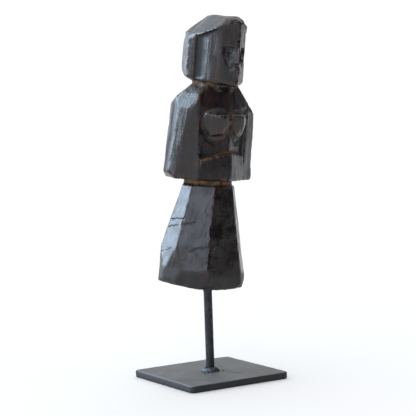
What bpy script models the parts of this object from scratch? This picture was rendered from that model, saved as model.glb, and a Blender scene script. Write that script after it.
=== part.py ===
"""A carved hardwood ancestor figure on a steel pin stand.

The carving is one billet of wood: a capped head, a torso with the arms left in the block, and an
eight-sided skirt, parted by narrow cuts at the neck and waist. A blind hole drilled up into the foot
takes the stand's rod, with a wrap on the rod to take up the slack, and the figure turns on it and
lifts off it. The stand is a square of flat bar with a round rod welded upright on its middle.

Units are metres, +Z is up, the front faces -Y, and the origin is the middle of the plate's underside.
The carving is described in millimetres in its own upright frame, then leaned and turned on the rod.
"""

import math

import bmesh
import bpy
from mathutils import Matrix, Vector

MM = 0.001
GAP = 0.3 * MM  # left between fixed pieces that touch

# The stand, made of stock sizes.
PLATE_SIDE = 80 * MM
PLATE_THICKNESS = 5 * MM
PLATE_CORNER_RADIUS = 3.5 * MM
PLATE_EDGE_RADIUS = 0.8 * MM
ROD_RADIUS = 3 * MM
ROD_TIP_CHAMFER = 0.8 * MM
ROD_IN_FOOT = 42 * MM  # how far the rod goes up into the carving
ROUND_SIDES = 32  # of the rod, the wrap and the hole, which turn inside each other

# The wrap on the rod, wound on where it enters the foot.
RUNNING_GAP = 0.06 * MM
WRAP_THICKNESS = 0.35 * MM
WRAP_BELOW_FOOT = 5 * MM
WRAP_IN_FOOT = 34 * MM

# The weld bead round the rod's foot.
BEAD_REACH = 6.5 * MM
BEAD_HEIGHT = 3.4 * MM

# The carving's place on the stand. It leans off the rod, and is turned a little on it.
FOOT_HEIGHT = 67 * MM  # from the floor to the middle of the foot
FIGURE_TURN = math.radians(6.2)
LEAN = math.radians(5.5)
LEAN_TOWARDS = Vector((0.85, -0.527, 0))
FOOT_OFFSET = -5.2 * MM  # of the foot's middle from the rod, along the lean

# Heights up the carving's own axis, in millimetres from the foot.
SKIRT_TOP = 71
TORSO_FOOT = 75
CROWN = 189.8

STEEL = ("blackened_steel", (0.075, 0.078, 0.085), 0.5, 0.85)
WELD_STEEL = ("weld_metal", (0.09, 0.095, 0.11), 0.4, 0.9)
WOOD = ("oiled_hardwood", (0.045, 0.032, 0.027), 0.3, 0.0)
THREAD = ("waxed_thread", (0.03, 0.03, 0.028), 0.7, 0.0)


def clear_scene():
    for obj in list(bpy.data.objects):
        bpy.data.objects.remove(obj)


def material(name, colour, roughness, metallic):
    """A Principled BSDF with the part's colour, shared by the parts of one material."""
    made = bpy.data.materials.get(name)
    if made:
        return made
    made = bpy.data.materials.new(name)
    made.use_nodes = True
    shader = made.node_tree.nodes["Principled BSDF"]
    shader.inputs["Base Color"].default_value = (*colour, 1)
    shader.inputs["Roughness"].default_value = roughness
    shader.inputs["Metallic"].default_value = metallic
    return made


def add_object(name, mesh, look):
    """The bmesh as a named object, shaded smooth except at its edges."""
    bmesh.ops.recalc_face_normals(mesh, faces=mesh.faces)
    data = bpy.data.meshes.new(name)
    mesh.to_mesh(data)
    mesh.free()
    data.shade_smooth()
    data.set_sharp_from_angle(angle=math.radians(25))
    data.materials.append(material(*look))
    obj = bpy.data.objects.new(name, data)
    bpy.context.scene.collection.objects.link(obj)
    return obj


def boolean(obj, helper, operation):
    helper.hide_render = True
    helper.display_type = "WIRE"
    modifier = obj.modifiers.new(helper.name, "BOOLEAN")
    modifier.operation = operation
    modifier.object = helper


# Carving: a block is what flat adze cuts leave of a billet.

def direction(azimuth):
    """Level direction at an azimuth in degrees from the front, positive to the figure's left."""
    return Vector((math.sin(math.radians(azimuth)), -math.cos(math.radians(azimuth)), 0))


def strike(mesh, point, normal):
    """One flat cut: what lies beyond the plane goes, and the cut is closed."""
    everything = mesh.verts[:] + mesh.edges[:] + mesh.faces[:]
    cut = bmesh.ops.bisect_plane(
        mesh, geom=everything, dist=1e-7, plane_co=point, plane_no=normal, clear_outer=True
    )["geom_cut"]
    rim = [part for part in cut if isinstance(part, bmesh.types.BMEdge)]
    if rim:
        bmesh.ops.edgeloop_fill(mesh, edges=rim)


def carve(low, high, sides, slopes=(), middle=(0, 0)):
    """A block from height low to high, in millimetres like all that follows.

    middle: how far to the figure's left, and how far forward, the block's upright axis stands.
    sides: (azimuth, reach at low, reach at high) of each flat side, from that axis.
    slopes: (azimuth, reach, height, pitch) of each sloping cut. It passes through the point at that
    reach and height, and pitch is how far its face looks up (or down) from level, in degrees.
    """
    mesh = bmesh.new()
    bmesh.ops.create_cube(mesh, size=1)
    billet = 120
    bmesh.ops.scale(mesh, vec=(billet, billet, high - low), verts=mesh.verts)
    bmesh.ops.translate(mesh, vec=(middle[0], -middle[1], (high + low) / 2), verts=mesh.verts)
    centre = Vector((middle[0], -middle[1], 0))
    for azimuth, at_low, at_high in sides:
        out = direction(azimuth)
        strike(
            mesh, centre + out * at_low + Vector((0, 0, low)),
            out * (high - low) + Vector((0, 0, at_low - at_high)),
        )
    for azimuth, reach, height, pitch in slopes:
        out, rise = direction(azimuth), math.radians(pitch)
        strike(
            mesh, centre + out * reach + Vector((0, 0, height)),
            out * math.cos(rise) + Vector((0, 0, math.sin(rise))),
        )
    return mesh


def both(cuts):
    """The cuts and their mirror images across the figure's middle."""
    return cuts + [(-azimuth, *rest) for azimuth, *rest in cuts]


def skirt():
    sides = [
        (-90, 38.1, 17.3), (-45, 34.2, 16.5), (0, 29.9, 17.8), (45, 31.1, 19.1),
        (90, 29.4, 17.9), (135, 31.0, 17.0), (180, 31.0, 16.5), (-135, 35.3, 15.8),
    ]
    hem = [
        (-68, 34.3, 24.6), (-45, 30.4, 35.1), (0, 28.0, 31.2), (45, 29.6, 32.0),
        (180, 29.0, 33.0), (-135, 27.8, 27.8), (-110, 32.6, 30.0),
    ]
    toe = [(azimuth, 28.0, 0, -40) for azimuth in (-20, 25, 70, 115, 160)]
    toe += [(-50, 29.0, 0, -40), (-95, 18.0, 0, -79), (-80, 33.0, 4.0, -45)]
    return carve(0, SKIRT_TOP, sides + hem, toe)


def torso():
    """Both arms and the body between them, before the front is worked."""
    sides = [
        (-10, 17.2, 15.0), (25, 21.2, 20.4), (-45, 22.9, 23.9), (-72, 29.4, 25.6), (-105, 32.2, 25.7),
        (-150, 25.8, 25.3), (180, 24.5, 21.0), (150, 28.5, 25.0), (115, 32.0, 29.0), (88, 34.6, 32.6),
    ]
    slopes = [
        (-72, 26.7, 124.0, 28), (-72, 21.2, 134.4, 43), (-140, 18.3, 135.7, 45), (180, 20.0, 127.0, 40),
        (-10, 15.5, 128.6, 15), (25, 20.6, 124.0, 16), (78, 31.6, 124.6, 42), (130, 26.0, 126.0, 42),
        (-105, 28.0, 75.0, -42), (95, 32.0, 75.0, -40),
    ]
    return carve(TORSO_FOOT, 143, sides, slopes)


def chest_hollow():
    """The space cut back between the arms."""
    return carve(88, 126, [(-90, 17.6, 17.0), (130, 8.4, 10.4), (180, -9.5, -9.5)])


def chest_and_belly():
    """One keel down the front, from the collar to the hands."""
    return carve(84, 139, both([(-30, 18.8, 20.9)]) + [(-90, 18, 18), (90, 19.2, 23.0), (180, 0, 0)], [
        (-22, 20.2, 121.5, 16), (22, 20.2, 121.5, 16), (-72, 20.8, 134.4, 43), (78, 31.2, 124.6, 42),
    ])


def hands():
    """The forearms and hands, left as one band across the belly that rises to the middle."""
    return carve(TORSO_FOOT + 0.6, 99, both([(-28, 21.6, 22.6)]) + [
        (-90, 18.2, 18.2), (90, 19.5, 19.5), (180, 0, 0),
    ], [(-90, 0, 95, 73), (90, 0, 95, 82), (0, 21.5, TORSO_FOOT + 0.6, -45)])


def breast(side, reach, outer):
    """Side is -1 for the figure's right and 1 for its left."""
    return carve(105, 121.5, [
        (side * 52, reach, reach + 2.8), (side * 4, 21.6, 24.4), (side * 90, outer, outer),
        (-side * 90, -1.2, -1.2), (180, 0, 0),
    ], [(side * 30, 23, 120.8, 70), (side * 25, 20.5, 107, -45), (-side * 60, 9.5, 114, -32)])


def hair_back():
    return carve(143.6, CROWN - 0.4, both([(-80, 18.6, 18.2), (-115, 20.2, 20.6)]) + [
        (180, 20.5, 20.5), (0, 1.0, 1.0),
    ], [(-92, 1.4, CROWN, 49), (92, 1.4, CROWN, 49), (180, 9, CROWN, 25), (180, 15, 144.5, -45)] + both([
        (-125, 21.6, 149.5, -24), (-125, 19.8, 145.8, -62),
    ]))


def cap():
    """The cap of hair, from the crown down past the brow."""
    return carve(170, CROWN, both([(90, 18.9, 18.9), (48, 22.0, 22.2)]) + [(0, 26.6, 26.9), (180, 5, 5)], [
        (0, 1, CROWN, 83.3), (0, 24.2, 187, 50),
    ] + both([(92, 2, CROWN, 49), (45, 19.2, 185.9, 43)]))


def under_eave():
    """What goes from under the cap, to leave an eave that falls from the brow to the sides of the head."""
    return carve(160, 188, both([(90, 25, 25)]) + [(0, 30, 30), (180, 6, 6)], both([(144, 0, 177, 70)]))


def face():
    """The block that the face is cut on: a keel down the middle, flat cheeks, and the sides of the head."""
    return carve(138, CROWN - 1, both([(-68, 17.6, 17.6), (-34, 22.6, 22.6)]) + [(180, 5, 5)], [
        (180, 0, 144.5, -80), (-92, 0.5, CROWN, 49), (92, 0.5, CROWN, 49), (0, 20, CROWN, 50),
    ] + both([(-45, 19.4, 141.5, -45)]))


def eye_hollow(side):
    """A cut that starts deep under the brow and runs out on the cheek."""
    return carve(152.5, 168.6, [
        (side * 34 + 180, -22.7, -20.0), (side * 159, -18.5, -15.3), (-side * 91, -5.0, -2.8),
    ], [(side * 34, 23.3, 167.2, 75)])


def eye(side):
    """An almond left standing in the hollow."""
    out = side * 34
    corners = [(out + turn, 3.6, 161.6, pitch) for turn in (90, -90) for pitch in (61, -61)]
    return carve(160.0, 163.2, [(out, -0.2, -0.5), (out + 180, 3, 3)], corners, middle=(side * 6.4, 22.9))


def eyelid_line(side):
    """The thin wedge cut that closes the lids."""
    out = side * 34
    return carve(160.4, 162.6, [(out, 2, 2), (out + 90, 2.7, 2.7), (out - 90, 2.7, 2.7)], [
        (out + 180, 1.5, 161.4, 70), (out + 180, 1.5, 161.4, -70),
    ], middle=(side * 6.4, 22.9))


def nose():
    """A wedge down the keel, widest over the mouth."""
    return carve(156.2, 168.6, both([(-62, 3.9, 1.2)]) + [(0, 5.4, 2.9), (180, 6, 6)], [
        (0, 4.6, 156.8, -38),
    ], middle=(0, 24.4))


def lips():
    return carve(148.4, 153.6, both([(-34, 2.4, 2.4)]) + [(180, 4, 4)], [
        (0, 2.2, 152.8, 40), (0, 2.2, 149.2, -40), (-80, 4.6, 151, 42), (80, 4.6, 151, 42),
        (-80, 4.6, 151, -42), (80, 4.6, 151, -42),
    ], middle=(0, 25.6))


def mouth():
    """A thin wedge cut between the lips."""
    return carve(149.6, 152.4, [(180, -24.4, -24.4), (90, 4.8, 4.8), (-90, 4.8, 4.8)], [
        (180, -25.8, 151, 76), (180, -25.8, 151, -76),
    ])


def main():
    clear_scene()
    build_stand()
    build_figure()


def rounded_plate():
    mesh = bmesh.new()
    bmesh.ops.create_cube(mesh, size=1)
    bmesh.ops.scale(mesh, vec=(PLATE_SIDE, PLATE_SIDE, PLATE_THICKNESS), verts=mesh.verts)
    bmesh.ops.translate(mesh, vec=(0, 0, PLATE_THICKNESS / 2), verts=mesh.verts)
    uprights = [e for e in mesh.edges if abs(e.verts[0].co.z - e.verts[1].co.z) > PLATE_THICKNESS / 2]
    bmesh.ops.bevel(
        mesh, geom=uprights, offset=PLATE_CORNER_RADIUS, affect="EDGES", segments=6, profile=0.5
    )
    rim = [e for e in mesh.edges if e.calc_face_angle() > math.radians(60)]
    bmesh.ops.bevel(mesh, geom=rim, offset=PLATE_EDGE_RADIUS, affect="EDGES", segments=2, profile=0.5)
    return mesh


def turned(profile, closed=False):
    """A solid turned about Z from (radius, height) points. An open profile ends on the axis."""
    mesh = bmesh.new()
    points = [mesh.verts.new((radius, 0, height)) for radius, height in profile]
    ends = points[1:] + points[:1] if closed else points[1:]
    edges = [mesh.edges.new(pair) for pair in zip(points, ends)]
    bmesh.ops.spin(
        mesh, geom=points + edges, cent=(0, 0, 0), axis=(0, 0, 1), angle=math.tau,
        steps=ROUND_SIDES, use_merge=True,
    )
    bmesh.ops.remove_doubles(mesh, verts=mesh.verts, dist=1e-6)
    return mesh


def build_stand():
    add_object("base_plate", rounded_plate(), STEEL)
    foot = PLATE_THICKNESS + GAP
    tip = FOOT_HEIGHT + ROD_IN_FOOT
    add_object("mounting_rod", turned([
        (0, foot), (ROD_RADIUS, foot), (ROD_RADIUS, tip - ROD_TIP_CHAMFER),
        (ROD_RADIUS - ROD_TIP_CHAMFER, tip), (0, tip),
    ]), STEEL)
    inner = ROD_RADIUS + GAP
    add_object("weld_bead", turned([
        (inner, foot), (BEAD_REACH, foot), (BEAD_REACH - 0.4 * MM, foot + 0.8 * MM),
        (inner + 1.5 * MM, foot + 1.9 * MM), (inner + 0.6 * MM, foot + BEAD_HEIGHT - 0.3 * MM),
        (inner, foot + BEAD_HEIGHT),
    ], closed=True), WELD_STEEL)
    inner = ROD_RADIUS + RUNNING_GAP
    low, high = FOOT_HEIGHT - WRAP_BELOW_FOOT, FOOT_HEIGHT + WRAP_IN_FOOT
    add_object("pin_wrap", turned([
        (inner, low), (inner + WRAP_THICKNESS, low), (inner + WRAP_THICKNESS, high), (inner, high),
    ], closed=True), THREAD)


def build_figure():
    lean = Matrix.Rotation(LEAN, 4, Vector((0, 0, 1)).cross(LEAN_TOWARDS))
    place = Matrix.Translation(LEAN_TOWARDS * FOOT_OFFSET + Vector((0, 0, FOOT_HEIGHT)))
    stance = place @ lean @ Matrix.Rotation(FIGURE_TURN, 4, "Z") @ Matrix.Scale(MM, 4)

    def block(name, mesh):
        bmesh.ops.transform(mesh, matrix=stance, verts=mesh.verts)
        return add_object(name, mesh, WOOD)

    def ring(low, high, at_low, at_high, middle):
        return carve(low, high, [(turn, at_low, at_high) for turn in range(0, 360, 45)], middle=middle)

    figure = block("carved_figure", torso())
    steps = [
        ("chest_hollow", chest_hollow(), "DIFFERENCE"),
        ("chest_and_belly", chest_and_belly(), "UNION"),
        ("hands", hands(), "UNION"),
        ("right_breast", breast(-1, 19.6, 17.2), "UNION"),
        ("left_breast", breast(1, 20.6, 20.0), "UNION"),
        ("skirt", skirt(), "UNION"),
        ("waist", ring(66, 82, 16.4, 16.4, (1.2, 0)), "UNION"),
        ("neck", ring(137.5, 148, 15.2, 13.4, (0, 0.6)), "UNION"),
        ("cap", cap(), "UNION"),
        ("under_eave", under_eave(), "DIFFERENCE"),
        ("face", face(), "UNION"),
        ("right_eye_hollow", eye_hollow(-1), "DIFFERENCE"),
        ("left_eye_hollow", eye_hollow(1), "DIFFERENCE"),
        ("right_eye", eye(-1), "UNION"),
        ("left_eye", eye(1), "UNION"),
        ("right_lids", eyelid_line(-1), "DIFFERENCE"),
        ("left_lids", eyelid_line(1), "DIFFERENCE"),
        ("nose", nose(), "UNION"),
        ("lips", lips(), "UNION"),
        ("mouth", mouth(), "DIFFERENCE"),
        ("hair_back", hair_back(), "UNION"),
    ]
    for name, mesh, operation in steps:
        boolean(figure, block(name, mesh), operation)
    bore_end = FOOT_HEIGHT + ROD_IN_FOOT + GAP
    bore_radius = ROD_RADIUS + WRAP_THICKNESS + 2 * RUNNING_GAP
    bore = turned([
        (0, FOOT_HEIGHT / 2), (bore_radius, FOOT_HEIGHT / 2), (bore_radius, bore_end), (0, bore_end),
    ])
    boolean(figure, add_object("bore", bore, WOOD), "DIFFERENCE")


main()
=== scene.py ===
import math

import bmesh
import bpy
import numpy as np
from mathutils import Matrix, Vector, noise


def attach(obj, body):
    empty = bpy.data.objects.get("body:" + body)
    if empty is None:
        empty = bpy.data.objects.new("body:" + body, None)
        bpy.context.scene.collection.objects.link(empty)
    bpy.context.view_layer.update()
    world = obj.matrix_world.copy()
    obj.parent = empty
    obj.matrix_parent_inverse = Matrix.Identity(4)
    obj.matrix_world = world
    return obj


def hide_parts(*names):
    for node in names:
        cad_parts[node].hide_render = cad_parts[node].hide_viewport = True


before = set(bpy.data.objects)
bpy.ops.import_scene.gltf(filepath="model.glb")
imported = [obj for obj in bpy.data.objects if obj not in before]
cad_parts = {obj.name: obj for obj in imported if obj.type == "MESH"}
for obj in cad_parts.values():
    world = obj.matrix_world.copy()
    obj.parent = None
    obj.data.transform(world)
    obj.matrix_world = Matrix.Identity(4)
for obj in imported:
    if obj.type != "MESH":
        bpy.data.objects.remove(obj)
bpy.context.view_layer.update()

# ---- The carving -------------------------------------------------------------------------------
# One billet of dense tropical hardwood, adzed into flat planes and then finished with a knife. Long
# handling and oil have left it nearly black and glossy on the planes, red-brown where edges have worn,
# and bare ochre wood in the cuts that no hand reaches. A drilled hole in the foot takes the rod.

CARVING_VOXEL = 0.0006  # metres; the planes' meeting lines come out worn by about that much
MM = 1000  # millimetres in a metre; the sizes below, down to the wrap, are in millimetres
FOOT_HEIGHT = 67.0
FOOT_OFFSET = -5.2
LEAN = math.radians(5.5)
LEAN_TOWARDS = Vector((0.85, -0.527, 0))
FIGURE_TURN = math.radians(6.2)
HEM, WAIST, NECK = 12.5, 73.2, 142.0  # heights up the block
EDGE_WEAR = 3  # rounds of smoothing
RIPPLE_DEPTH = 0.05
KNOCK_DEPTH = 0.40
BREAST_CENTRES = ((-9.6, 19.6, 114.6), (11.6, 18.0, 114.6))
BREAST_RADII = (9.6, 9.6, 12.0)
BREAST_RISE = 1.9
CREASE_DEPTH = 0.55
HANDS_RISE = 1.3
HAIR_CUT_DEPTH = 1.2
OPEN_CHECK = 0.4  # a check this deep shows dark all through
CHEST_CUT = math.radians(30)  # how far each half of the chest is turned back from the front

lean = Matrix.Rotation(LEAN, 4, Vector((0, 0, 1)).cross(LEAN_TOWARDS))
stance = (
    Matrix.Translation(LEAN_TOWARDS * FOOT_OFFSET + Vector((0, 0, FOOT_HEIGHT)))
    @ lean @ Matrix.Rotation(FIGURE_TURN, 4, "Z")
)
to_block = np.diag((1.0, -1.0, 1.0, 1.0)) @ np.array(stance.inverted())
block_turn, block_shift = to_block[:3, :3], to_block[:3, 3]


def finished(mesh, name):
    """A new smooth-shaded object made from a bmesh, at the origin."""
    data = bpy.data.meshes.new(name)
    mesh.to_mesh(data)
    mesh.free()
    data.shade_smooth()
    made = bpy.data.objects.new(name, data)
    bpy.context.scene.collection.objects.link(made)
    return made


def applied(made):
    """The object's modifiers made part of its mesh."""
    graph = bpy.context.evaluated_depsgraph_get()
    made.data = bpy.data.meshes.new_from_object(made.evaluated_get(graph))
    made.modifiers.clear()


def remeshed(node, name, voxel, smoothing):
    """A new piece over a CAD node: its mesh merged, cut into even small faces, its edges softened."""
    mesh = bmesh.new()
    mesh.from_mesh(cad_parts[node].data)
    bmesh.ops.remove_doubles(mesh, verts=mesh.verts, dist=1e-6)
    made = finished(mesh, name)
    remesh = made.modifiers.new("remesh", "REMESH")
    remesh.mode = "VOXEL"
    remesh.voxel_size = voxel
    smooth = made.modifiers.new("smooth", "SMOOTH")
    smooth.factor = 0.5
    smooth.iterations = smoothing
    applied(made)
    made.data.materials.clear()
    made.data.shade_smooth()
    return made


def points_of(mesh, what="co"):
    """Every vertex's place, or its normal, as rows of three."""
    found = np.empty(len(mesh.vertices) * 3, np.float32)
    if what == "co":
        mesh.vertices.foreach_get("co", found)
    else:
        mesh.vertex_normals.foreach_get("vector", found)
    return found.reshape(-1, 3).astype(float)


def in_block(places):
    """Places in metres as left, forward and up from the block's foot, in millimetres."""
    return places * MM @ block_turn.T + block_shift


def grain_of(points, size, seed=0.0):
    """Perlin noise, about -0.5 to 0.5, at each point; size is its grain along each axis."""
    scaled = points / np.array(size) + seed
    return np.array([noise.noise(Vector(p)) for p in scaled])


def averaged(mesh, values, rounds):
    """The values smoothed along the mesh's edges."""
    ends = np.empty(len(mesh.edges) * 2, np.int32)
    mesh.edges.foreach_get("vertices", ends)
    a, b = ends.reshape(-1, 2).T
    count = np.bincount(a, minlength=len(values)) + np.bincount(b, minlength=len(values))
    out = values.copy()
    for _ in range(rounds):
        total = np.zeros_like(out)
        np.add.at(total, a, out[b])
        np.add.at(total, b, out[a])
        out = total / count[:, None]
    return out


def standing_out(places, smoothed, normals):
    """How far each place stands out from the smoothed surface, or lies in where it is below zero."""
    return ((places - smoothed) * normals).sum(axis=1)


def step(start, end, values):
    """0 up to start, 1 past end, and smooth between; start may be the larger."""
    t = np.clip((values - start) / (end - start), 0, 1)
    return t * t * (3 - 2 * t)


def near_line(points, start, end):
    """Distance of each point from the line between two points."""
    start, end = np.array(start, float), np.array(end, float)
    along = end - start
    t = np.clip((points - start) @ along / (along @ along), 0, 1)
    return np.linalg.norm(points - start - t[:, None] * along, axis=1)


def displace(mesh, places, normals, depth):
    """Moves the mesh's vertices to their places and out along their normals by a depth in millimetres."""
    moved = places + normals * depth[:, None] / MM
    mesh.vertices.foreach_set("co", moved.astype(np.float32).ravel())
    mesh.update()


def store(mesh, name, values):
    """Keeps a value from 0 to 1 for each vertex, which the material reads by name."""
    kept = np.clip(values, 0, 1).astype(np.float32)
    mesh.attributes.new(name, "FLOAT", "POINT").data.foreach_set("value", kept)


carving = remeshed("carved_figure", "carving", CARVING_VOXEL, 1)
mesh = carving.data
places = points_of(mesh)
normals = points_of(mesh, "normal")

# Every edge is worn round, apart from the knife work on the face, which stays crisp.
left, forward, up = in_block(places).T
features = step(11, 15, forward) * step(146, 149, up) * step(171, 168, up)
rounded = averaged(mesh, places, EDGE_WEAR)
places = rounded + (places - rounded) * features[:, None]
own = in_block(places)
left, forward, up = own.T
forward_facing = (normals @ block_turn.T)[:, 1]

near = averaged(mesh, places * MM, 14)
far = averaged(mesh, near, 40)
edge = step(0.05, 0.30, standing_out(places * MM, near, normals))
hollow = step(0.10, 0.6, -standing_out(places * MM, far, normals))  # painted shade in the corners, over the old dirt that they hold
in_bore = step(4.1, 3.8, np.hypot(places[:, 0], places[:, 1]) * MM)

# What the tools left: the depth of the marks, their size to the left, forward and up, and a seed.
tool_marks = [
    (0.30, (14, 14, 18), 0.0),  # each plane a little hollow or crowned
    (0.13, (4.5, 4.5, 9), 7.0),  # single strokes
    (0.10, (1.5, 1.5, 17), 19.0),  # furrows along the grain
]
depth = sum(deep * grain_of(own, size, seed) for deep, size, seed in tool_marks)

# Fine ripples lie across a plane where the edge chattered, and knocks have taken bits off the edges.
ripple_at = step(0.0, 0.3, grain_of(own, (12, 12, 16), 3.0))
depth += RIPPLE_DEPTH * ripple_at * grain_of(own, (7, 7, 1.3), 11.0)
depth -= KNOCK_DEPTH * edge * step(0.0, 0.45, grain_of(own, (3.2, 3.2, 6.0), 23.0))

# The breasts, rounded over by knife and handling, each with a crease under it.
facing_front = step(0.2, 0.5, forward_facing)
below = step(118, 112, up)
on_breast = np.zeros(len(own))
for centre in BREAST_CENTRES:
    from_centre = np.linalg.norm((own - np.array(centre)) / BREAST_RADII, axis=1)
    from_centre += 0.16 * grain_of(own, (6, 6, 6), 61.0)
    on_breast = np.maximum(on_breast, step(1.08, 1.0, from_centre))
    depth += facing_front * BREAST_RISE * np.clip(1 - from_centre ** 2, 0, 1) ** 0.75
    depth -= facing_front * CREASE_DEPTH * below * np.exp(-((from_centre - 1.12) / 0.15) ** 2)
    # A painted shadow darkens the crease under each breast.
    crease_shade = 0.7 * facing_front * below * np.exp(-((from_centre - 1.1) / 0.13) ** 2)
    hollow = np.maximum(hollow, crease_shade)

# The band of the hands stands out a little more at its foot.
depth += HANDS_RISE * facing_front * step(99, 79, up) * step(74, 77, up) * step(22, 18, np.abs(left))

# A knife cut along the hair's front edge sets the side of the head back from it.
hair_cut = step(0.9, 2.0, forward) * step(13.0, 3.0, forward) * step(12.5, 14.0, np.abs(left))
hair_cut *= step(143, 147, up) * step(177, 173, up)
depth -= HAIR_CUT_DEPTH * hair_cut
# Painted shade darkens the cut, and all the painted shade in hollows is weaker on the face.
hollow = np.maximum(hollow, step(0.35, 0.9, hair_cut)) * (1 - 0.6 * features)

# Checks across the planes of the skirt, where the wood has dried: the left, forward and up of each
# end, with the depth and half-width of each.
checks = [
    ((-25.0, -13.3, 44.9), (-24.1, 7.5, 47.7), 0.60, 0.40),
    ((-26.3, -9.3, 40.4), (-25.7, 4.0, 42.8), 0.50, 0.35),
    ((-31.2, -7.4, 23.5), (-30.3, 3.8, 26.7), 0.35, 0.35),
    ((-25.8, 7.2, 43.3), (-18.7, 13.6, 45.4), 0.50, 0.38),
    ((-23.3, 16.0, 25.6), (-17.6, 20.6, 28.9), 0.50, 0.42),
    ((-17.6, 20.6, 28.9), (-14.2, 24.1, 28.5), 0.40, 0.40),
    ((-20.7, 18.0, 27.6), (-20.2, 20.0, 23.3), 0.35, 0.40),
]
wander = own.copy()
wander[:, 2] += 1.1 * grain_of(own, (3, 3, 3), 31.0)
check = np.zeros(len(own))
for start, end, deep, half_width in checks:
    check = np.maximum(check, deep * np.exp(-(near_line(wander, start, end) / half_width) ** 2))
depth -= check
displace(mesh, places, normals, depth * (1 - in_bore))

# Bare wood in the neck and waist cuts: each cut's height and half-height, and the centre and radius
# of the round of wood that no hand reaches.
bare = np.zeros(len(own))
for height, half_height, x, y, radius in ((NECK, 3.4, 0, 1, 16.0), (WAIST, 3.0, 1, 0, 17.6)):
    in_cut = step(half_height, 0, np.abs(up - height))
    in_cut *= step(radius + 1.5, radius, np.hypot(left - x, forward - y))
    bare = np.maximum(bare, in_cut)

# Bare wood in the corners between the breasts and over the hands: how bare, how wide, and both ends.
bare_lines = [
    (0.55, 1.8, (1.0, 22.5, 124), (1.0, 22.0, 106)),
    (0.70, 1.6, (-17, 16, 89.5), (0, 22.5, 95)),
    (0.70, 1.6, (0, 22.5, 95), (17, 14, 92)),
]
for strength, half_width, start, end in bare_lines:
    bare = np.maximum(bare, strength * np.exp(-(near_line(own, start, end) / half_width) ** 2))
bare *= 0.65 + 0.9 * grain_of(own, (4, 4, 3), 41.0)

# The outer back corner of the right arm is rubbed red-brown and dull in a ragged band, which also carries
# painted shade.
rubbed_and_shaded = np.exp(-((forward + 9.5 + 4 * grain_of(own, (9, 9, 14), 71.0)) / 2.6) ** 2)
rubbed_and_shaded *= step(-20, -24, left) * step(77, 82, up) * step(131, 124, up)

# The hem turns in under a ragged line; below it the wood is rougher and takes less shine.
hem = step(HEM + 1.5, HEM - 1.5, up + 5 * grain_of(own, (9, 9, 9), 51.0)) * (1 - in_bore)

# The chest and belly behind the breasts, arms and hands were cut across the grain and never polished:
# the wood between the arms that stands no further out than that cut's two faces.
cut_face = 18.8 + 2.1 * (up - 84) / 55
before_cut = math.cos(CHEST_CUT) * forward + math.sin(CHEST_CUT) * np.abs(left) - cut_face
recess = step(1.3, 0.4, before_cut) * step(19.5, 17.0, np.abs(left)) * step(4, 8, forward)
recess *= step(94, 97, up) * step(139, 137, up)

store(mesh, "bare", bare)
store(mesh, "edge", edge)
store(mesh, "hollow", hollow)
store(mesh, "check", check / OPEN_CHECK)
store(mesh, "rubbed_and_shaded", rubbed_and_shaded)
store(mesh, "hem", hem)
store(mesh, "recess", recess)

# The wood's own grain runs up the block, so the block's axes are kept on the mesh for the material.
block = mesh.attributes.new("block", "FLOAT_VECTOR", "POINT")
block.data.foreach_set("vector", (own / MM).astype(np.float32).ravel())


def colour(code):
    """An sRGB hex colour as the linear values that Blender takes."""
    parts = [int(code[i:i + 2], 16) / 255 for i in (1, 3, 5)]
    return (*[c / 12.92 if c <= 0.04045 else ((c + 0.055) / 1.055) ** 2.4 for c in parts], 1)


def new_material(name):
    """A material with an empty Principled shader, and its nodes and shader."""
    made = bpy.data.materials.new(name)
    made.use_nodes = True
    return made, made.node_tree, made.node_tree.nodes["Principled BSDF"]


def add(tree, kind, inputs=(), stops=(), into=None, out=0, **settings):
    """A node with its settings.

    Inputs are (socket, value or output), stops a colour ramp's (place, colour), and into is the input
    that the node's output number out feeds.
    """
    node = tree.nodes.new(kind)
    for key, value in settings.items():
        setattr(node, key, value)
    for socket, value in inputs:
        if isinstance(value, bpy.types.NodeSocket):
            tree.links.new(value, node.inputs[socket])
        else:
            node.inputs[socket].default_value = value
    for i, (position, tint) in enumerate(stops):
        node.color_ramp.elements[i].position = position
        node.color_ramp.elements[i].color = tint
    if into:
        tree.links.new(node.outputs[out], into)
    return node


# The Mix node's sockets: the two that it mixes, and for colours the one that it gives out.
FIRST_COLOUR, SECOND_COLOUR, MIXED_COLOUR = 6, 7, 2
FIRST_VALUE, SECOND_VALUE = 2, 3

# Oiled hardwood. The near-black heartwood takes a hand polish, so it shows mostly as reflections; the
# colour itself is only seen where the finish has worn or never reached. The fibres are drawn several
# times as wide as real ones, so that they show. Sizes across, across and along the grain.
FIBRE = (0.833, 0.833, 16.7)
STREAK = (3.03, 3.03, 23.8)
FLECK = (2.38, 2.38, 9.09)
BLOTCH = 8.33
POLISHED, HANDLED, UNPOLISHED = 0.12, 0.4, 0.75  # roughness
HARDWOOD_IOR = 1.5

wood, tree, shader = new_material("oiled_hardwood")
seen = {
    name: add(tree, "ShaderNodeAttribute", attribute_name=name).outputs["Fac"]
    for name in ("bare", "edge", "hollow", "check", "recess", "hem", "rubbed_and_shaded")
}
grain_axes = add(tree, "ShaderNodeAttribute", attribute_name="block").outputs["Vector"]
along_fibres, along_streaks, along_flecks = [
    add(
        tree, "ShaderNodeMapping",
        inputs=[("Vector", grain_axes), ("Scale", [MM / length for length in size])],
    ).outputs[0]
    for size in (FIBRE, STREAK, FLECK)
]
fibre = add(
    tree, "ShaderNodeTexNoise", inputs=[("Vector", along_fibres), ("Scale", 1.0), ("Detail", 3.0)],
).outputs[0]
streak = add(
    tree, "ShaderNodeTexNoise",
    inputs=[("Vector", along_streaks), ("Scale", 1.0), ("Detail", 5.0), ("Roughness", 0.65)],
).outputs[0]
fleck = add(
    tree, "ShaderNodeTexNoise",
    inputs=[("Vector", along_flecks), ("Scale", 1.0), ("Detail", 4.0), ("Roughness", 0.6)],
).outputs[0]
blotch = add(
    tree, "ShaderNodeTexNoise", inputs=[("Vector", grain_axes), ("Scale", MM / BLOTCH), ("Detail", 4.0)],
).outputs[0]

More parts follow.
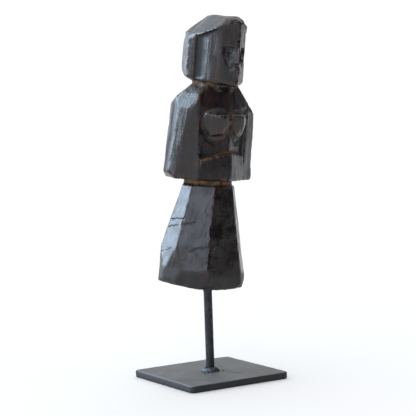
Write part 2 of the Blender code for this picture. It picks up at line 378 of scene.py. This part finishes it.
heartwood = add(
    tree, "ShaderNodeValToRGB", inputs=[("Fac", streak)],
    stops=[(0.35, colour("#0d0b0d")), (0.78, colour("#1c1514"))],
).outputs[0]
cut_wood = add(
    tree, "ShaderNodeValToRGB", inputs=[("Fac", streak)],
    stops=[(0.42, colour("#0d0909")), (0.72, colour("#2b1910"))],
).outputs[0]
ochre_wood = add(
    tree, "ShaderNodeValToRGB", inputs=[("Fac", streak)],
    stops=[(0.3, colour("#38240f")), (0.7, colour("#7a5628"))],
).outputs[0]
fleck_amount = add(
    tree, "ShaderNodeMapRange",
    inputs=[("Value", fleck), ("From Min", 0.56), ("From Max", 0.7), ("To Max", 0.45)],
).outputs[0]
worn_amount = add(
    tree, "ShaderNodeMapRange", inputs=[("Value", streak), ("From Min", 0.5), ("From Max", 0.72)],
).outputs[0]
worn_edge = add(
    tree, "ShaderNodeMath", operation="MULTIPLY", inputs=[(0, worn_amount), (1, seen["edge"])],
).outputs[0]

# Each layer of colour lies over the one before it.
layers = [
    (fleck_amount, colour("#43281a")),
    # Painted shade over old dirt in the hollows, the creases and the hair's cut: near black.
    (seen["hollow"], colour("#080606")),
    (worn_edge, colour("#4a2617")),
    (seen["rubbed_and_shaded"], colour("#2c150d")),
    (seen["recess"], cut_wood),
    (seen["bare"], ochre_wood),
    (seen["check"], colour("#0d0a0a")),
]
shown = heartwood
for amount, over in layers:
    shown = add(
        tree, "ShaderNodeMix", data_type="RGBA",
        inputs=[("Factor", amount), (FIRST_COLOUR, shown), (SECOND_COLOUR, over)],
    ).outputs[MIXED_COLOUR]
tree.links.new(shown, shader.inputs["Base Color"])

shine = add(
    tree, "ShaderNodeMapRange",
    inputs=[
        ("Value", blotch), ("From Min", 0.3), ("From Max", 0.7), ("To Min", POLISHED), ("To Max", HANDLED),
    ],
).outputs[0]
dull = add(
    tree, "ShaderNodeMath", operation="MULTIPLY", inputs=[(0, seen["recess"]), (1, 0.12)],
).outputs[0]
for unreached in (seen["hollow"], seen["bare"]):
    dull = add(
        tree, "ShaderNodeMath", operation="MAXIMUM", inputs=[(0, dull), (1, unreached)],
    ).outputs[0]
polish = add(
    tree, "ShaderNodeMix", data_type="FLOAT",
    inputs=[("Factor", dull), (FIRST_VALUE, shine), (SECOND_VALUE, UNPOLISHED)],
).outputs[0]
for roughened, much in ((seen["hem"], 0.3), (seen["rubbed_and_shaded"], 0.4)):
    polish = add(
        tree, "ShaderNodeMath", operation="MULTIPLY_ADD", inputs=[(0, roughened), (1, much), (2, polish)],
    ).outputs[0]
tree.links.new(polish, shader.inputs["Roughness"])
relief = add(
    tree, "ShaderNodeMix", data_type="FLOAT",
    inputs=[("Factor", 0.4), (FIRST_VALUE, fibre), (SECOND_VALUE, streak)],
).outputs[0]
add(
    tree, "ShaderNodeBump", into=shader.inputs["Normal"],
    inputs=[("Height", relief), ("Strength", 0.5), ("Distance", 0.0004)],
)
shader.inputs["IOR"].default_value = HARDWOOD_IOR

# A copy of the same wood that hardly shines: painted shade, darker than the wood round it.
shaded_wood = wood.copy()
shaded_wood.name = "shaded_hardwood"
shaded_wood.node_tree.nodes["Principled BSDF"].inputs["Specular IOR Level"].default_value = 0.28
mesh.materials.append(wood)
mesh.materials.append(shaded_wood)

# It lies, as painted shade, between the arms round the breasts, on the right half of the belly, and on the
# rubbed corner.
front = step(7, 8, forward)
between_arms = front * step(20.0, 19.0, np.abs(left)) * step(98, 100, up) * step(139.5, 138.5, up)
on_belly = front * step(1.5, 0.5, left) * step(-19.0, -18.2, left) * step(74, 75, up) * step(100, 98, up)
in_shade = np.maximum(np.maximum(between_arms * (1 - on_breast), on_belly), rubbed_and_shaded)
corners = np.empty(len(mesh.loops), np.int32)
mesh.loops.foreach_get("vertex_index", corners)
starts = np.empty(len(mesh.polygons), np.int32)
mesh.polygons.foreach_get("loop_start", starts)
of_face = np.maximum.reduceat(in_shade[corners], starts)
mesh.polygons.foreach_set("material_index", (of_face > 0.5).astype(np.int32))

# The flat planes carry more faces than they need.
thin = carving.modifiers.new("thin", "DECIMATE")
thin.ratio = 0.69
applied(carving)
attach(carving, "figure")
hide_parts("carved_figure")

# ---- The wrap on the rod -----------------------------------------------------------------------
# Waxed thread wound on the rod in close turns, so that the carving's hole grips it. Only the lowest
# turns show, under the foot; the rest is up inside the hole.

ROD_RADIUS = 0.003
THREAD_RADIUS = 0.00017
WRAP_CLEARANCE = 0.00006  # between the rod and the thread
WRAP_LOW, WRAP_HIGH = 0.0622, 0.1008
TURNS = 104
TURN_STEPS = 28
THREAD_SIDES = 8
THREAD_WANDER = 0.00004
TURNS_OVERLAP = 1.1  # the thread is this much taller than it is thick, so that the turns close up

wrap_radius = ROD_RADIUS + WRAP_CLEARANCE + THREAD_RADIUS
mesh = bmesh.new()
rings = []
ring_count = TURNS * TURN_STEPS
for i in range(ring_count + 1):
    turn = math.tau * i / TURN_STEPS
    out = Vector((math.cos(turn), math.sin(turn), 0))
    wander_here = THREAD_WANDER * noise.noise(Vector((i * 0.07, 0, 0)))
    height = WRAP_LOW + (WRAP_HIGH - WRAP_LOW) * i / ring_count + wander_here
    ring = []
    for k in range(THREAD_SIDES):
        around = math.tau * k / THREAD_SIDES
        from_rod = wrap_radius + THREAD_RADIUS * math.cos(around)
        rise = THREAD_RADIUS * TURNS_OVERLAP * math.sin(around)
        ring.append(mesh.verts.new(out * from_rod + Vector((0, 0, height + rise))))
    rings.append(ring)
for before, after in zip(rings, rings[1:]):
    for k in range(THREAD_SIDES):
        mesh.faces.new((before[k - 1], after[k - 1], after[k], before[k]))
mesh.faces.new(rings[0])
mesh.faces.new(rings[-1])
bmesh.ops.recalc_face_normals(mesh, faces=mesh.faces)
wrap = finished(mesh, "thread_wrap")

# Waxed black thread: dull, with the wax picking up dust between turns.
THREAD_MOTTLE = 1.111  # millimetres

thread, tree, shader = new_material("waxed_thread")
where = add(tree, "ShaderNodeTexCoord").outputs["Object"]
mottle = add(
    tree, "ShaderNodeTexNoise", inputs=[("Vector", where), ("Scale", MM / THREAD_MOTTLE), ("Detail", 3.0)],
).outputs[0]
add(
    tree, "ShaderNodeValToRGB", into=shader.inputs["Base Color"], inputs=[("Fac", mottle)],
    stops=[(0.35, colour("#17181b")), (0.7, colour("#4a4c50"))],
)
shader.inputs["Roughness"].default_value = 0.6
wrap.data.materials.append(thread)
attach(wrap, "wrap")
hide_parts("pin_wrap")

# ---- The rod -----------------------------------------------------------------------------------
# 6 mm round bar of mild steel, sawn off and chamfered with a file, blackened and waxed like the plate.
# It stands in the weld and goes up into the foot.

ROD_LOW, ROD_TIP = 0.0053, 0.109
ROD_CHAMFER = 0.0008
ROD_STEPS = 90
ROD_SIDES = 48
DENT_DEPTH = 0.00012
DENTS_PER_METRE = 420

mesh = bmesh.new()
straight = ROD_TIP - ROD_CHAMFER - ROD_LOW
profile = [(0.0, ROD_LOW)]
profile += [(ROD_RADIUS, ROD_LOW + straight * i / ROD_STEPS) for i in range(ROD_STEPS + 1)]
profile += [(ROD_RADIUS - ROD_CHAMFER, ROD_TIP), (0.0, ROD_TIP)]
points = [mesh.verts.new((radius, 0, height)) for radius, height in profile]
lines = [mesh.edges.new(pair) for pair in zip(points, points[1:])]
bmesh.ops.spin(
    mesh, geom=points + lines, cent=(0, 0, 0), axis=(0, 0, 1), angle=math.tau,
    steps=ROD_SIDES, use_merge=True,
)
bmesh.ops.remove_doubles(mesh, verts=mesh.verts, dist=1e-6)
bmesh.ops.recalc_face_normals(mesh, faces=mesh.faces)
for vert in mesh.verts:
    if math.hypot(vert.co.x, vert.co.y) > ROD_RADIUS - 0.0001:
        dent = max(0.0, noise.noise(vert.co * DENTS_PER_METRE) - 0.18) * DENT_DEPTH
        vert.co.x *= 1 - dent / ROD_RADIUS
        vert.co.y *= 1 - dent / ROD_RADIUS
rod = finished(mesh, "rod")
rod.data.set_sharp_from_angle(angle=math.radians(40))

# Blackened mild steel under wax: a thin blue-black oxide with paler, drier patches and fine pits.
ROD_PATCH = 3.333  # millimetres

rod_steel, tree, shader = new_material("blackened_rod_steel")
where = add(tree, "ShaderNodeTexCoord").outputs["Object"]
patch = add(
    tree, "ShaderNodeTexNoise",
    inputs=[("Vector", where), ("Scale", MM / ROD_PATCH), ("Detail", 5.0), ("Roughness", 0.6)],
).outputs[0]
add(
    tree, "ShaderNodeValToRGB", into=shader.inputs["Base Color"], inputs=[("Fac", patch)],
    stops=[(0.35, colour("#2a2c2f")), (0.7, colour("#484a4d"))],
)
add(
    tree, "ShaderNodeMapRange", into=shader.inputs["Roughness"],
    inputs=[("Value", patch), ("From Min", 0.3), ("From Max", 0.7), ("To Min", 0.42), ("To Max", 0.6)],
)
add(
    tree, "ShaderNodeBump", into=shader.inputs["Normal"],
    inputs=[("Height", patch), ("Strength", 0.25), ("Distance", 0.0001)],
)
shader.inputs["Metallic"].default_value = 0.9
rod.data.materials.append(rod_steel)
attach(rod, "stand")
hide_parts("mounting_rod")

# ---- The weld ----------------------------------------------------------------------------------
# One pass of stick weld round the rod's foot, laid by hand in overlapping pools and wire-brushed, with
# a few drops of spatter stuck to the plate beside it.

PLATE_TOP = 0.005
WELD_FOOT = 0.0053
WELD_UNDERSIDE = 0.0051
WELD_INSIDE = 0.0033
WELD_REACH = 0.0067
WELD_TOP = 0.0022
WELD_BULGE = 0.0007
WELD_ROUND = 96
WELD_STEPS = 10
SPATTER = (  # places and radii
    (-0.0062, -0.0066, 0.0009), (-0.0078, -0.0052, 0.0006), (-0.0042, -0.0088, 0.0005),
    (0.0071, -0.0058, 0.0006),
)

mesh = bmesh.new()
rows = []
for i in range(WELD_ROUND):
    turn = math.tau * i / WELD_ROUND
    across, along = math.cos(turn), math.sin(turn)
    pool = abs(math.sin(turn * 4.5 + 0.9 * math.sin(turn)))
    spread = 0.04 * pool + 0.16 * noise.noise(Vector((across, along, 0)) * 1.7)
    heap = 0.10 * pool + 0.22 * noise.noise(Vector((across, along, 4)) * 1.4)
    reach = WELD_REACH * (0.95 + spread)
    section = []
    for k in range(WELD_STEPS + 1):
        t = k / WELD_STEPS
        rise = WELD_TOP * (1 + heap) * (1 - t) ** 0.7
        rise += WELD_BULGE * math.sin(math.pi * t) * (0.7 + 0.3 * pool)
        section.append((WELD_INSIDE + (reach - WELD_INSIDE) * t, WELD_FOOT + max(rise, 0)))
    section += [(reach * 0.985, WELD_UNDERSIDE), (WELD_INSIDE, WELD_UNDERSIDE)]
    rows.append([mesh.verts.new((radius * across, radius * along, height)) for radius, height in section])
for before, after in zip(rows, rows[1:] + rows[:1]):
    for k in range(len(before)):
        mesh.faces.new((before[k - 1], after[k - 1], after[k], before[k]))
for x, y, size in SPATTER:
    drop = bmesh.ops.create_icosphere(mesh, subdivisions=3, radius=size)["verts"]
    for vert in drop:
        vert.co *= 1 + 0.25 * noise.noise(vert.co * 1400)
        vert.co.z *= 0.6
    bmesh.ops.translate(mesh, vec=(x, y, PLATE_TOP + size * 0.35), verts=drop)
bmesh.ops.recalc_face_normals(mesh, faces=mesh.faces)
weld = finished(mesh, "weld")

# Weld metal, brushed and blackened: brighter and smoother than the bar on its crests.
WELD_PATCH = 1.538  # millimetres

weld_metal, tree, shader = new_material("weld_metal")
where = add(tree, "ShaderNodeTexCoord").outputs["Object"]
patch = add(
    tree, "ShaderNodeTexNoise", inputs=[("Vector", where), ("Scale", MM / WELD_PATCH), ("Detail", 4.0)],
).outputs[0]
add(
    tree, "ShaderNodeValToRGB", into=shader.inputs["Base Color"], inputs=[("Fac", patch)],
    stops=[(0.35, colour("#34363a")), (0.7, colour("#5f6167"))],
)
add(
    tree, "ShaderNodeBump", into=shader.inputs["Normal"],
    inputs=[("Height", patch), ("Strength", 0.5), ("Distance", 0.0003)],
)
shader.inputs["Metallic"].default_value = 0.9
shader.inputs["Roughness"].default_value = 0.58
weld.data.materials.append(weld_metal)
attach(weld, "stand")
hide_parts("weld_bead")

# ---- The plate ---------------------------------------------------------------------------------
# A square sawn from 80 x 5 mm hot-rolled flat bar, its edges filed, then blackened and waxed. The mill
# scale is pitted, and a faint brown stain of rust runs from the weld.

PLATE_VOXEL = 0.0006
WAVE_DEPTH = 0.05  # millimetres, as are the sizes and places that follow
NICK_DEPTH = 0.10
PIT_DEPTH = 0.10
BLOW_HOLE_DEPTH = 0.9
BLOW_HOLES = ((14.3, 7.1, 0.9), (-8.8, -10.1, 0.8), (9.0, -3.5, 0.6))  # places and radii
RUST_SPOTS = (  # places, radii and strengths
    (0.5, -9.5, 3.0, 0.8), (6.7, -15.3, 2.6, 0.7), (11.0, -20.0, 2.4, 0.6), (-9.5, -4.0, 2.0, 0.5),
)

plate = remeshed("base_plate", "plate", PLATE_VOXEL, 2)
mesh = plate.data
places = points_of(mesh)
normals = points_of(mesh, "normal")
millimetres = places * MM
edge = step(0.05, 0.25, standing_out(millimetres, averaged(mesh, millimetres, 8), normals))
above_underside = step(0.3, 0.9, millimetres[:, 2])
depth = WAVE_DEPTH * grain_of(millimetres, (14, 14, 14))
depth -= NICK_DEPTH * edge * step(0, 0.4, grain_of(millimetres, (2, 2, 2), 5.0))
depth -= PIT_DEPTH * step(0.22, 0.45, grain_of(millimetres, (2.2, 2.2, 2.2), 9.0))
for x, y, radius in BLOW_HOLES:
    away = np.hypot(millimetres[:, 0] - x, millimetres[:, 1] - y) / radius
    depth -= BLOW_HOLE_DEPTH * np.exp(-away ** 2)
displace(mesh, places, normals, depth * above_underside)
rust = np.zeros(len(places))
for x, y, radius, strength in RUST_SPOTS:
    away = np.hypot(millimetres[:, 0] - x, millimetres[:, 1] - y) / radius
    rust = np.maximum(rust, strength * np.exp(-away ** 2))
rust *= 1 + 1.2 * grain_of(millimetres, (2.5, 2.5, 2.5), 13.0)
store(mesh, "edge", edge)
# The sides are painted darker than the top, as shade.
store(mesh, "side", 1 - step(0.5, 0.95, normals[:, 2]))
store(mesh, "rust", rust)

# Blackened hot-rolled steel under wax: dull grey-black, rubbed paler along its edges. The oxide and
# wax cover most of the metal, so it hardly mirrors.
PLATE_PATCH = 11.11  # millimetres
PLATE_SPECK = 1.4286

steel, tree, shader = new_material("blackened_plate_steel")
where = add(tree, "ShaderNodeTexCoord").outputs["Object"]
on_edge, side_shade, stain = [
    add(tree, "ShaderNodeAttribute", attribute_name=name).outputs["Fac"] for name in ("edge", "side", "rust")
]
patch = add(
    tree, "ShaderNodeTexNoise",
    inputs=[("Vector", where), ("Scale", MM / PLATE_PATCH), ("Detail", 6.0), ("Roughness", 0.6)],
).outputs[0]
speck = add(
    tree, "ShaderNodeTexNoise", inputs=[("Vector", where), ("Scale", MM / PLATE_SPECK), ("Detail", 3.0)],
).outputs[0]
shown = add(
    tree, "ShaderNodeValToRGB", inputs=[("Fac", patch)],
    stops=[(0.3, colour("#403e3b")), (0.7, colour("#605d59"))],
).outputs[0]
# Over the grey lie the paler rubbed edges, the rust stain, and painted shade on the sides.
for amount, over in ((on_edge, "#62656a"), (stain, "#4a3320"), (side_shade, "#2e2f31")):
    shown = add(
        tree, "ShaderNodeMix", data_type="RGBA",
        inputs=[("Factor", amount), (FIRST_COLOUR, shown), (SECOND_COLOUR, colour(over))],
    ).outputs[MIXED_COLOUR]
tree.links.new(shown, shader.inputs["Base Color"])
add(
    tree, "ShaderNodeMapRange", into=shader.inputs["Roughness"],
    inputs=[("Value", patch), ("From Min", 0.3), ("From Max", 0.7), ("To Min", 0.58), ("To Max", 0.76)],
)
add(
    tree, "ShaderNodeBump", into=shader.inputs["Normal"],
    inputs=[("Height", speck), ("Strength", 0.3), ("Distance", 0.0001)],
)
shader.inputs["Metallic"].default_value = 0.4
mesh.materials.append(steel)
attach(plate, "stand")
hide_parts("base_plate")

# ---- The studio --------------------------------------------------------------------------------
# A white sweep under soft daylight: a bluish window past the figure's right shoulder, a patch of sky
# behind it, a small sheet of light before it, a pale ceiling and walls, and the dark of the room to its
# front left. The window and the sheet leave the sweep alone, so that its shadows stay faint.

FLOOR_RADIUS = 60.0
WINDOW_AT, WINDOW_AWAY = (-130, 31), 1.25  # azimuth and height in degrees, and metres
SHEET_AT, SHEET_AWAY = (-48, 28), 1.4
CEILING_AT = (80, 66)
DARK_AT, SKY_AT = (45, 10), (-165, 16)
WALLS, DARK_ROOM = (1.06, 1.07, 1.09, 1), (0.05, 0.05, 0.055, 1)
NO_SKY, SKY = (0, 0, 0, 1), (0.35, 0.6, 0.85, 1)

mesh = bmesh.new()
bmesh.ops.create_circle(mesh, cap_ends=True, segments=96, radius=FLOOR_RADIUS)
floor = finished(mesh, "floor")

# White matt paper: it stays the brightest thing in view and shows only soft shadows.
paper, tree, shader = new_material("white_paper")
shader.inputs["Base Color"].default_value = colour("#fbfbfb")
shader.inputs["Roughness"].default_value = 0.9
floor.data.materials.append(paper)


def towards(azimuth, height):
    """Direction at an azimuth from the front, positive to the figure's left, and a height, in degrees."""
    a, h = math.radians(azimuth), math.radians(height)
    return Vector((math.sin(a) * math.cos(h), -math.cos(a) * math.cos(h), math.sin(h)))


def hung(light, direction, away, above):
    """A lamp hung that many metres away in a direction from a point above the origin, and aimed back."""
    lamp = bpy.data.objects.new(light.name, light)
    bpy.context.scene.collection.objects.link(lamp)
    lamp.location = direction * away + Vector((0, 0, above))
    lamp.rotation_euler = direction.to_track_quat("Z", "Y").to_euler()
    return lamp


world = bpy.data.worlds.new("studio")
bpy.context.scene.world = world
world.use_nodes = True
tree = world.node_tree
direction = add(tree, "ShaderNodeTexCoord").outputs["Generated"]
facing_dark, facing_sky = [
    add(
        tree, "ShaderNodeVectorMath", operation="DOT_PRODUCT", inputs=[(0, direction), (1, towards(*at))],
    ).outputs["Value"]
    for at in (DARK_AT, SKY_AT)
]
room = add(
    tree, "ShaderNodeValToRGB", inputs=[("Fac", facing_dark)], stops=[(0.2, WALLS), (0.6, DARK_ROOM)],
).outputs[0]
sky = add(
    tree, "ShaderNodeValToRGB", inputs=[("Fac", facing_sky)], stops=[(0.82, NO_SKY), (0.95, SKY)],
).outputs[0]
add(
    tree, "ShaderNodeMix", data_type="RGBA", blend_type="ADD",
    inputs=[("Factor", 1.0), (FIRST_COLOUR, room), (SECOND_COLOUR, sky)],
    into=tree.nodes["Background"].inputs["Color"], out=MIXED_COLOUR,
)

window = bpy.data.lights.new("window", "AREA")
window.shape = "RECTANGLE"
window.size, window.size_y = 1.2, 1.15
window.energy = 37
window.color = (0.62, 0.8, 1.0)
window_lamp = hung(window, towards(*WINDOW_AT), WINDOW_AWAY, 0.15)

sheet = bpy.data.lights.new("front_left_sheet", "AREA")
sheet.shape = "RECTANGLE"
sheet.size, sheet.size_y = 0.95, 0.62
sheet.energy = 4.2
sheet.color = (0.66, 0.76, 1.0)
sheet_lamp = hung(sheet, towards(*SHEET_AT), SHEET_AWAY, 0.12)

ceiling = bpy.data.lights.new("overhead", "SUN")
ceiling.energy = 1.0
ceiling.angle = math.radians(100)
hung(ceiling, towards(*CEILING_AT), 1.0, 0.0)

flagged = bpy.data.collections.new("flagged_off")
flagged.objects.link(floor)
flagged.collection_objects[0].light_linking.link_state = "EXCLUDE"
window_lamp.light_linking.receiver_collection = flagged
sheet_lamp.light_linking.receiver_collection = flagged

CAMERA_AZIMUTH, CAMERA_HEIGHT = -31.83, 4.89
CAMERA_ROLL = math.radians(-1.93)
CAMERA_AWAY = 1.081
AIM_ACROSS, AIM_UP = 0.00216, 0.12097

camera_data = bpy.data.cameras.new("camera")
camera_data.sensor_width = 36
camera_data.lens = 132.8365
camera_data.clip_end = 50
camera = bpy.data.objects.new("camera", camera_data)
bpy.context.scene.collection.objects.link(camera)
back = towards(CAMERA_AZIMUTH, CAMERA_HEIGHT)
across = Vector((0, 0, 1)).cross(back).normalized()
upward = back.cross(across)
turned_across = across * math.cos(CAMERA_ROLL) + upward * math.sin(CAMERA_ROLL)
turned_upward = upward * math.cos(CAMERA_ROLL) - across * math.sin(CAMERA_ROLL)
place = across * AIM_ACROSS + Vector((0, 0, AIM_UP)) + back * CAMERA_AWAY
turned = Matrix((turned_across, turned_upward, back)).transposed()
camera.matrix_world = Matrix.Translation(place) @ turned.to_4x4()
bpy.context.scene.camera = camera
bpy.context.scene.view_settings.view_transform = "Standard"
